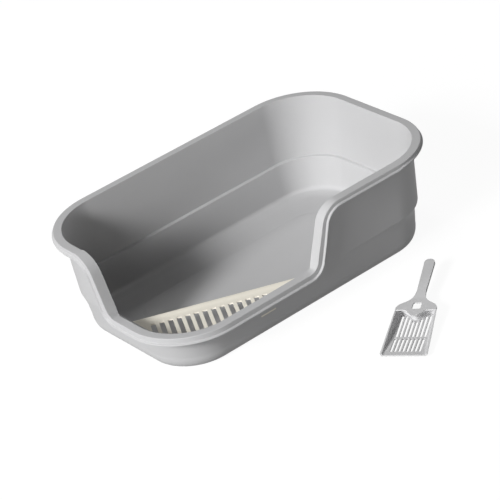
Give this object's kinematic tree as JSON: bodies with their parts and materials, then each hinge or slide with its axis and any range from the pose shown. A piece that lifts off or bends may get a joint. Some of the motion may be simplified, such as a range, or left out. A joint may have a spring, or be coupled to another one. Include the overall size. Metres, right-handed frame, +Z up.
{
  "type": "litter box",
  "caption": "Open-top litter tub with a wall that dips to a low entrance round one corner, a slotted step clipped in over that corner, and a loose slotted scoop.",
  "frame": {"origin": "middle of the tub's flat base panel, on the floor", "axes": "+Z up; +X along the tub's long side, towards the end without the entrance; -Y is the long side that the entrance runs into; the low corner is at -X, -Y"},
  "size_m": [0.6072, 0.6069, 0.1815],
  "materials": {
    "grey_plastic": "satin light grey polypropylene",
    "cream_plastic": "satin cream polypropylene",
    "scoop_plastic": "satin grey polypropylene"
  },
  "bodies": {
    "tub": {"tub": "grey_plastic"},
    "entrance_grate": {"entrance_grate": "cream_plastic"},
    "scoop": {"scoop": "scoop_plastic"}
  },
  "joints": [
    {"name": "grate_unclip", "type": "slide", "parent": "tub", "child": "entrance_grate", "axis": [0, 1, 0], "range_m": [0, 0.012]},
    {"name": "scoop_lift", "type": "slide", "parent": "tub", "child": "scoop", "axis": [0, 0, 1], "range_m": [0, 0.15]}
  ]
}
